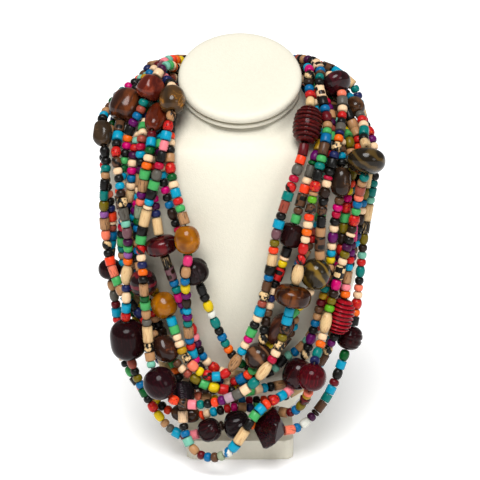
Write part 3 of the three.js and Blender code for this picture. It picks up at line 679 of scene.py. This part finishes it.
def string_beads(after, before, length, pick):
    """The small beads of one run: the charted ones, and a plain mix where they fall short."""
    first, last = after.split(), before.split()

    def total(beads):
        return sum(CUTS[bead[2]][1] for bead in beads) * MM

    while total(first + last) > length * CROWDED and len(first) + len(last) > 1:
        if len(first) > len(last):
            first.pop()
        else:
            last.pop(0)
    between = []
    while total(first + between + last) < length - SPARE:
        between.append(pick.choice(MIX))
    return first + between + last


def bead_cuts():
    """A collection of one small bead of each cut, of radius 1 and half-length 1, with a hole."""
    sides, hole, mouth = 12, 0.24, 0.9
    outlines = {
        "rondelle": [(0.36, 0.95), (0.68, 0.9), (0.91, 0.62), (1.0, 0.2)],
        "cylinder": [(0.45, 0.96), (0.94, 0.94), (1.0, 0.84)],
        "barrel": [(0.42, 0.98), (0.72, 0.88), (0.94, 0.46), (1.0, 0.0)],
        "long": [(0.36, 0.98), (0.6, 0.9), (0.88, 0.5), (1.0, 0.0)],
        "nugget": [(0.4, 0.94), (0.8, 0.86), (1.0, 0.4), (0.97, 0.0)],
        "ribbed": [(0.45, 0.97), (0.92, 0.88), (0.84, 0.62), (1.0, 0.42), (0.86, 0.2), (1.0, 0.0)],
    }
    shelf = bpy.data.collections.new("bead_cuts")
    for name, outline in outlines.items():
        shape = bmesh.new()
        half = [(radius, height) for radius, height in outline if height > 0]
        waist = [point for point in outline if point[1] == 0]
        profile = [(hole, -mouth)] + [(radius, -height) for radius, height in half] + waist
        profile += half[::-1] + [(hole, mouth)]

        def lumps(point, turn):
            swell = 1 + 0.1 * math.sin(2 * turn + 2 * point.z) + 0.07 * math.sin(3 * turn - 3 * point.z)
            return Vector((point.x * swell, point.y * swell, point.z)) * 0.96

        lathe(shape, profile, sides, Matrix.Identity(4), lumps if name == "nugget" else None)
        bead = new_piece("cut_" + name, shape, None)
        bpy.context.scene.collection.objects.unlink(bead)
        shelf.objects.link(bead)
        keep_local(bead, Matrix.Identity(4), 1)
    return shelf


def add_input(tree, name, kind, default=None):
    """A named input of a Geometry Nodes tree."""
    made = tree.tree.interface.new_socket(name=name, in_out="INPUT", socket_type=kind)
    if default is not None:
        made.default_value = default


def new_geometry_tree(name):
    """A Geometry Nodes tree with geometry in and out."""
    tree = Tree(bpy.data.node_groups.new(name, "GeometryNodeTree"))
    tree.tree.interface.new_socket(name="Geometry", in_out="OUTPUT", socket_type="NodeSocketGeometry")
    add_input(tree, "Geometry", "NodeSocketGeometry")
    return tree


def end_geometry_tree(tree, made, material):
    """Ends a tree: what it has made becomes real geometry in one material."""
    made = tree.node("GeometryNodeRealizeInstances", None, {"Geometry": made})
    made = tree.node("GeometryNodeSetMaterial", None, {"Geometry": made, "Material": material})
    tree.node("NodeGroupOutput", None, {"Geometry": made})
    return tree.tree


def bead_tree():
    """Strings a bead on each point: its cut, size and direction come with the point."""
    tree = new_geometry_tree("string_of_beads")
    add_input(tree, "Girth", "NodeSocketFloat", 3 * MM)
    add_input(tree, "Cuts", "NodeSocketCollection")
    add_input(tree, "Paint", "NodeSocketMaterial")
    given = tree.node("NodeGroupInput")
    cuts = tree.node("GeometryNodeCollectionInfo", None,
                     {"Collection": given.other("Cuts"), "Separate Children": True,
                      "Reset Children": True})

    def named(name, kind):
        return tree.node("GeometryNodeInputNamedAttribute", {"data_type": kind}, {"Name": name})

    size = tree.split(named("size", "FLOAT_VECTOR"))
    girth = size * given.other("Girth")
    scale = tree.node("ShaderNodeCombineXYZ", None, {0: girth, 1: girth, 2: size.other("Z")})
    turned = tree.node("FunctionNodeAlignRotationToVector", {"axis": "Z"},
                       {"Vector": named("along", "FLOAT_VECTOR")})
    spin = tree.node("FunctionNodeAxisAngleToRotation", None,
                     {"Axis": (0, 0, 1), "Angle": named("chance", "FLOAT") * (2 * math.pi)})
    turned = tree.node("FunctionNodeRotateRotation", {"rotation_space": "LOCAL"},
                       {"Rotation": turned, "Rotate By": spin})
    beads = tree.node("GeometryNodeInstanceOnPoints", None,
                      {"Points": given.other("Geometry"), "Instance": cuts, "Pick Instance": True,
                       "Instance Index": named("cut", "INT"), "Rotation": turned, "Scale": scale})
    return end_geometry_tree(tree, beads, given.other("Paint"))


def thread_tree():
    """A round thread along each edge path."""
    tree = new_geometry_tree("thread")
    add_input(tree, "Radius", "NodeSocketFloat", 0.4 * MM)
    add_input(tree, "Wax", "NodeSocketMaterial")
    given = tree.node("NodeGroupInput")
    path = tree.node("GeometryNodeMeshToCurve", None, {"Mesh": given.other("Geometry")})
    circle = tree.node("GeometryNodeCurvePrimitiveCircle", None,
                       {"Resolution": 6, "Radius": given.other("Radius")})
    cord = tree.node("GeometryNodeCurveToMesh", None,
                     {"Curve": path, "Profile Curve": circle, "Fill Caps": True})
    cord = tree.node("GeometryNodeSetShadeSmooth", None, {0: cord})
    return end_geometry_tree(tree, cord, given.other("Wax"))


def grown(name, seed_mesh, tree, inputs):
    """Runs a Geometry Nodes tree on a mesh, and keeps what it makes as a plain piece."""
    seedling = linked(name + "_seed", seed_mesh)
    modifier = seedling.modifiers.new("make", "NODES")
    modifier.node_group = tree
    for item in tree.interface.items_tree:
        if item.in_out == "INPUT" and item.name in inputs:
            modifier[item.identifier] = inputs[item.name]
    ready = seedling.evaluated_get(bpy.context.evaluated_depsgraph_get())
    mesh = bpy.data.meshes.new_from_object(ready)
    if not mesh.polygons:
        raise RuntimeError(name + " came out empty")
    bpy.data.objects.remove(seedling)
    mesh.name = name
    return linked(name, mesh)


# ---------------- small beads
# What each small bead's point carries.
FACTS = {"along": "FLOAT_VECTOR", "size": "FLOAT_VECTOR", "tint": "FLOAT_VECTOR",
         "accent": "FLOAT_VECTOR", "cut": "INT", "pattern": "INT", "chance": "FLOAT"}
LEAST, MOST = 0.94, 1.07  # a small bead's girth against its cut's


def strand_points(strand, charts, pick):
    """A mesh of one point for each small bead of a strand, with what the bead is."""
    places = []
    facts = {name: [] for name in FACTS}
    order = sorted({cut[0] for cut in CUTS.values()})
    for run, (after, before) in zip(strand.runs, charts):
        path = Path(run)
        beads = string_beads(after, before, path.length, pick)
        squeeze = path.length / (sum(CUTS[bead[2]][1] for bead in beads) * MM)
        reached = 0.0
        for bead in beads:
            paint = bead[:2]
            cut, length, girth, pattern = CUTS[bead[2]]
            length *= MM * squeeze
            start, end = path.at(reached), path.at(reached + length)
            reached += length
            places.append((start + end) / 2)
            facts["along"].append((end - start).normalized()[:])
            facts["size"].append((girth * pick.uniform(LEAST, MOST), 0, length / 2))
            facts["cut"].append(order.index(cut))
            facts["tint"].append(linear(PAINTS[paint]))
            facts["accent"].append(linear(PAINTS[ACCENTS.get(paint, USUAL_ACCENT)]))
            facts["pattern"].append(PATTERNS.index(pattern))
            facts["chance"].append(pick.random())
    mesh = bpy.data.meshes.new(strand.name + "_points")
    mesh.from_pydata(places, [], [])
    for name, kind in FACTS.items():
        store(mesh, name, kind, facts[name])
    return mesh


class NECKLACE_OT_strands(bpy.types.Operator):
    """Strings the small beads on every strand, and runs the threads through them."""
    bl_idname = "necklace.make_strands"
    bl_label = "Strands"

    def execute(self, context):
        sizes = context.scene.necklace_sizes
        paint = bead_paint(context.scene.necklace_finish.wear)
        shelf = bead_cuts()
        tree = bead_tree()
        threads = bpy.data.meshes.new("threads_points")
        points, edges = [], []
        for number, (node, charts) in enumerate(CHARTS.items()):
            strand = Strand(node)
            if len(strand.runs) != len(charts):
                raise RuntimeError(f"{node} has {len(strand.runs)} runs and {len(charts)} charts")
            pick = random.Random(sizes.seed * 100 + number)
            beads = strand_points(strand, charts, pick)
            piece = grown(node + "_beads", beads, tree,
                          {"Girth": sizes.bead_girth, "Cuts": shelf, "Paint": paint})
            stands_for(piece, node)
            first = len(points)
            points += strand.thread
            edges += [(i, i + 1) for i in range(first, len(points) - 1)]
        threads.from_pydata(points, edges, [])
        cords = grown("threads", threads, thread_tree(), {"Radius": sizes.thread, "Wax": thread_wax()})
        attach(cords, "root")
        for cut in list(shelf.objects):
            bpy.data.objects.remove(cut)
        bpy.data.collections.remove(shelf)
        return {"FINISHED"}


# ---------------- large beads
class LargeBead:
    """Where a large bead sits, how big it is and how full its outline is, from its CAD node."""
    RING = 0.8  # height of the ring that tells how full the outline is
    RING_DEPTH = 0.06
    USUAL_RING = 0.75  # the ring's radius where the node has no corners at that height
    FULLEST = 2.75
    POWERS = {"disc": FULLEST, "square": 3.8}
    FACETED_GIRTH = 1.1  # a faceted bead's corners stand out of its round outline
    FORWARD = Vector((0, -1, 0.36))

    def __init__(self, node, form):
        low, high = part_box(node)
        self.centre = (low + high) / 2
        shape = merged(node)
        spots = [vertex.co - self.centre for vertex in shape.verts]
        self.axis = self.find_axis(shape)
        shape.free()
        heights = [spot.dot(self.axis) for spot in spots]
        middle = (max(heights) + min(heights)) / 2
        self.centre = self.centre + self.axis * middle
        spots = [spot - self.axis * middle for spot in spots]
        reach = [(abs(spot.dot(self.axis)), spot.cross(self.axis).length) for spot in spots]
        self.half = max(height for height, radius in reach)
        self.radius = max(radius for height, radius in reach)
        ring = [radius for height, radius in reach
                if abs(height / self.half - self.RING) < self.RING_DEPTH]
        ring = ring or [self.radius * self.USUAL_RING]
        self.power = min(self.find_power(max(ring) / self.radius), self.FULLEST)
        self.power = self.POWERS.get(form, self.power)
        if form == "facet":
            self.radius *= self.FACETED_GIRTH
        front = (self.FORWARD - self.axis * self.FORWARD.dot(self.axis)).normalized()
        side = self.axis.cross(front)
        self.place = Matrix((front, side, self.axis)).transposed().to_4x4()
        self.place.translation = self.centre

    @staticmethod
    def find_axis(shape):
        """The line that the bead was turned on: its two flat end rings face along it."""
        flats = {}
        for face in shape.faces:
            key = tuple(round(part, 2) for part in face.normal)
            flats[key] = flats.get(key, 0) + 1
        best = max(flats, key=lambda key: flats[key])
        return Vector(best).normalized()

    def find_power(self, fullness):
        """The power of the rounded outline that is this full near its ends."""
        low, high = 1.5, 6.0
        for _ in range(30):
            power = (low + high) / 2
            if (1 - self.RING ** power) ** (1 / power) < fullness:
                low = power
            else:
                high = power
        return power

    def outline(self, steps, hole):
        """The closed outline: up the outside, and down the hole."""
        mouth, lip = hole * 1.7, hole * 1.25
        lip_height, hole_depth = 0.1 * MM, 0.7 * MM
        points = []
        for step in range(steps + 1):
            turn = math.pi * (step / steps - 0.5)
            height = math.copysign(abs(math.sin(turn)) ** (2 / self.power), turn)
            radius = math.cos(turn) ** (2 / self.power) * self.radius
            if radius > mouth:
                points.append((radius, height * self.half))
        rim = points[-1][1]
        below = [(hole, hole_depth - rim), (lip, -rim - lip_height)]
        above = [(lip, rim + lip_height), (hole, rim - hole_depth)]
        return below + points + above


def facet_directions():
    """Two rows of facets, one above and one below the middle, half a facet apart."""
    lift, count = 0.72, 5
    found = []
    for row, height in enumerate((-lift, lift)):
        for step in range(count):
            turn = 2 * math.pi * (step + 0.5 * row) / count
            found.append(Vector((math.cos(turn) * math.cos(height), math.sin(turn) * math.cos(height),
                                 math.sin(height))))
    return found


FACETS = facet_directions()
FACET_CUT, FACET_REACH = 0.88, 1.12  # how far out the facets lie, and their corners at most
FLATS = [Vector((math.cos(turn), math.sin(turn), 0.3)).normalized() for turn in (0.5, 2.6, 4.6)]
FLAT_CUT = 0.8  # how far out the flats of a cut bead lie
SQUARE_SIDE, SQUARE_TURN = 0.86, 0.6  # half of a square bead's side, and how far it is turned
SWIRL = 2.6  # how far a groove winds from a bead's middle to its end
MANY = 4  # a turned bead with more grooves than this has fine ones
COLLAR = 2 * MM  # nothing is cut nearer to the hole's axis than this
# How deep each kind of carving goes, as a share of the radius.
DEPTHS = {"hive": 0.3, "fine": 0.06, "turned": 0.11, "swirl": 0.13, "nugget": 0.14, "plain": 0.012}


def kept(form, count, unit, turn, seed):
    """The share of its radius that a carved or lumpy bead keeps, at a height and a turn."""
    up = math.pi * (unit.z + 1) / 2
    lump = Vector((seed, 0, 0))
    if form == "hive":
        return 1 - DEPTHS[form] * (1 - abs(math.sin(count * up)))
    if form == "turned" and count > MANY:
        return 1 - DEPTHS["fine"] * (1 - abs(math.cos(count * up))) ** 1.5
    if form == "turned":
        return 1 - DEPTHS[form] * (1 - abs(math.sin((count + 1) * up))) ** 4
    if form == "swirl":
        return 1 - DEPTHS[form] * max(0, math.cos(count * turn + SWIRL * unit.z)) ** 8
    if form == "square":
        turn += SQUARE_TURN
        return SQUARE_SIDE / (math.cos(turn) ** 4 + math.sin(turn) ** 4) ** 0.25
    if form == "nugget":
        return 1 - DEPTHS[form] * (0.5 + noise.noise(unit * 1.1 + lump))
    return 1 + DEPTHS["plain"] * (noise.noise(unit * 0.9 + lump) - 0.4)


def bead_shift(form, count, bead, seed):
    """How a cut, carved or lumpy bead departs from its turned outline."""
    radius, half = bead.radius, bead.half

    def shift(point, turn):
        if point.xy.length < COLLAR:
            return point
        unit = Vector((point.x / radius, point.y / radius, point.z / half))
        if form == "facet":
            nearest = max(unit.dot(facet) for facet in FACETS)
            return point * min(FACET_REACH, FACET_CUT / max(nearest, 0.1))
        if form == "cut":
            for flat in FLATS:
                unit -= flat * max(0.0, unit.dot(flat) - FLAT_CUT)
            return Vector((unit.x * radius, unit.y * radius, unit.z * half))
        depth = min(1.0, (point.xy.length - 0.8 * COLLAR) / COLLAR)
        keep = 1 + (kept(form, count, unit, turn, seed) - 1) * depth
        return Vector((point.x * keep, point.y * keep, point.z))

    return shift


class NECKLACE_OT_large_beads(bpy.types.Operator):
    """Turns, carves and polishes the large wooden and resin beads."""
    bl_idname = "necklace.make_large_beads"
    bl_label = "Large beads"

    def execute(self, context):
        sizes = context.scene.necklace_sizes
        polish = context.scene.necklace_finish.polish
        for number, (node, (form, dark, light, figure, count)) in enumerate(WOODS.items()):
            bead = LargeBead(node, form)
            steps = 8 * count if form in ("hive", "turned") and count > MANY else 40
            shape = bmesh.new()
            lathe(shape, bead.outline(steps, sizes.hole), sizes.around, bead.place,
                  bead_shift(form, count, bead, number * 3.7))
            # Hive beads get painted shade in their grooves and a painted highlight on their ridges, one
            # ridge this wide.
            ridge = 2 * bead.half / count / LOCAL if form == "hive" else None
            material = polished_wood(node + "_finish", dark, light, figure, polish, ridge)
            piece = new_piece(node + "_piece", shape, material)
            keep_local(piece, bead.place, LOCAL)
            if form == "facet":
                for face in piece.data.polygons:
                    face.use_smooth = False
            stands_for(piece, node)
        return {"FINISHED"}


# ---------------- clasp and bust
class NECKLACE_OT_clasp(bpy.types.Operator):
    """Turns the wooden barrel behind the neck that all the threads run to."""
    bl_idname = "necklace.make_clasp"
    bl_label = "Clasp"

    def execute(self, context):
        low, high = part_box("clasp")
        half = (high.x - low.x) / 2
        radius = (high.z - low.z) / 2
        steps, ring_steps, ring_depth = 24, (6, 7, 17, 18), 0.97
        hole, lip = (radius * 0.16, half * 0.9), (radius * 0.3, half * 0.98)
        profile = [(hole[0], -hole[1]), (lip[0], -lip[1])]
        for step in range(steps + 1):
            height = 2 * step / steps - 1
            ring = ring_depth if step in ring_steps else 1
            profile.append((radius * ring * (0.8 + 0.2 * (1 - abs(height) ** 3)), half * 0.95 * height))
        profile += [lip, hole]
        place = Matrix(((0, 0, 1), (1, 0, 0), (0, 1, 0))).to_4x4()
        place.translation = (low + high) / 2
        shape = bmesh.new()
        lathe(shape, profile, context.scene.necklace_sizes.around, place)
        material = polished_wood("clasp_finish", "2C190E", "6B4426", "streak", 0.3)
        piece = new_piece("clasp_barrel", shape, material)
        keep_local(piece, place, LOCAL)
        stands_for(piece, "clasp")
        return {"FINISHED"}


def covered(node, name, material, levels, crease=None):
    """A smooth piece from a merged copy of a CAD node. Edges bent more than crease stay firm."""
    firmness = 0.75
    shape = merged(node)
    bmesh.ops.join_triangles(shape, faces=shape.faces, cmp_seam=False, cmp_sharp=False, cmp_uvs=False,
                             cmp_vcols=False, cmp_materials=False, angle_face_threshold=0.7,
                             angle_shape_threshold=1.2)
    if crease:
        layer = shape.edges.layers.float.new("crease_edge")
        for edge in shape.edges:
            if edge.calc_face_angle(0) > crease:
                edge[layer] = firmness
    piece = new_piece(name, shape, material)
    finer = piece.modifiers.new("finer", "SUBSURF")
    finer.levels = levels
    finer.render_levels = levels
    stands_for(piece, node)
    return piece


class NECKLACE_OT_bust(bpy.types.Operator):
    """Covers the bust: its base, body, neck pad and piping, all in leatherette."""
    bl_idname = "necklace.make_bust"
    bl_label = "Bust"

    def execute(self, context):
        cover = leatherette(context.scene.necklace_finish.leatherette)
        covered("stand_base", "base_slab", cover, 3, crease=0.9)
        covered("bust_torso", "bust_cover", cover, 2, crease=0.9)
        pad = covered("neck_pad", "neck_disc", cover, 3)
        covered("neck_piping", "neck_cord", cover, 2)
        return {"FINISHED"}


# ---------------- stage
FLOOR_GAP = 0.2 * MM  # between the floor and the object, so that they don't flicker
FLOOR_HALF = 4  # half of the floor's side, in metres
AIM = Vector((0, 0, 0.148))  # what the camera and the lights point at
# Name: where from, how wide a disc of light in degrees, strength.
LIGHTS = {
    "front_light": ((-0.12, -1.0, 1.75), 34, 3.5),
    "side_light": ((1.0, -1.0, 0.6), 20, 0.3),
}
SHOWN, CAST = 1.0, 0.28  # the world's strength as the camera sees it, and as it lights


class NECKLACE_OT_stage(bpy.types.Operator):
    """Sets up the floor, the lights and the camera."""
    bl_idname = "necklace.make_stage"
    bl_label = "Stage"

    def execute(self, context):
        stage = context.scene.necklace_stage
        shape = bmesh.new()
        bmesh.ops.create_grid(shape, x_segments=1, y_segments=1, size=FLOOR_HALF)
        floor = new_piece("floor", shape, floor_paint(stage.floor), smooth=False)
        floor.location.z = CAD_BOX[0].z - FLOOR_GAP
        self.make_world(context)
        for name, (spot, spread, power) in LIGHTS.items():
            lamp = bpy.data.lights.new(name, "SUN")
            lamp.angle = math.radians(spread)
            lamp.energy = power * stage.light
            light = linked(name, lamp)
            light.location = spot
            light.rotation_euler = (AIM - light.location).to_track_quat("-Z", "Y").to_euler()
        lens = bpy.data.cameras.new("camera")
        lens.sensor_width = 36
        lens.lens = lens.sensor_width * stage.distance / stage.width
        camera = linked("camera", lens)
        back = Vector((0, -math.cos(stage.elevation), math.sin(stage.elevation)))
        camera.location = AIM + back * stage.distance
        camera.rotation_euler = (-back).to_track_quat("-Z", "Y").to_euler()
        context.scene.camera = camera
        context.scene.view_settings.view_transform = "Standard"
        return {"FINISHED"}

    @staticmethod
    def make_world(context):
        """White behind the object, and a dimmer white that lights it."""
        world = bpy.data.worlds.new("studio")
        world.use_nodes = True
        world.node_tree.nodes.clear()
        tree = Tree(world.node_tree)
        seen = tree.node("ShaderNodeLightPath", out="Is Camera Ray")
        backdrop = tree.node("ShaderNodeBackground", None, {"Color": (1, 1, 1), "Strength": SHOWN})
        light = tree.node("ShaderNodeBackground", None, {"Color": (1, 1, 1), "Strength": CAST})
        both = tree.node("ShaderNodeMixShader", None, {0: seen, 1: light, 2: backdrop})
        tree.node("ShaderNodeOutputWorld", None, {"Surface": both})
        context.scene.world = world


# ---------------- panel and running
PARTS = (NECKLACE_OT_bust, NECKLACE_OT_clasp, NECKLACE_OT_large_beads, NECKLACE_OT_strands,
         NECKLACE_OT_stage)


class NECKLACE_PT_panel(bpy.types.Panel):
    """Lists the pieces and their settings."""
    bl_idname = "NECKLACE_PT_panel"
    bl_label = "Beaded necklace"
    bl_space_type = "VIEW_3D"
    bl_region_type = "UI"
    bl_category = "Necklace"

    def draw(self, context):
        for settings in SETTINGS:
            group = getattr(context.scene, settings)
            for name in group.bl_rna.properties.keys():
                if name not in ("rna_type", "name"):
                    self.layout.prop(group, name)
        for part in PARTS:
            self.layout.operator(part.bl_idname)


SETTINGS = {
    "necklace_sizes": NecklaceSizes, "necklace_finish": NecklaceFinish,
    "necklace_stage": NecklaceStage,
}
CLASSES = (*SETTINGS.values(), *PARTS, NECKLACE_PT_panel)


def register():
    for item in CLASSES:
        bpy.utils.register_class(item)
    for name, group in SETTINGS.items():
        setattr(bpy.types.Scene, name, PointerProperty(type=group))


def unregister():
    for name in SETTINGS:
        delattr(bpy.types.Scene, name)
    for item in reversed(CLASSES):
        bpy.utils.unregister_class(item)


def main():
    """Makes every piece and the stage."""
    register()
    bpy.ops.necklace.make_bust()
    bpy.ops.necklace.make_clasp()
    bpy.ops.necklace.make_large_beads()
    bpy.ops.necklace.make_strands()
    bpy.ops.necklace.make_stage()


if __name__ == "__main__":
    main()
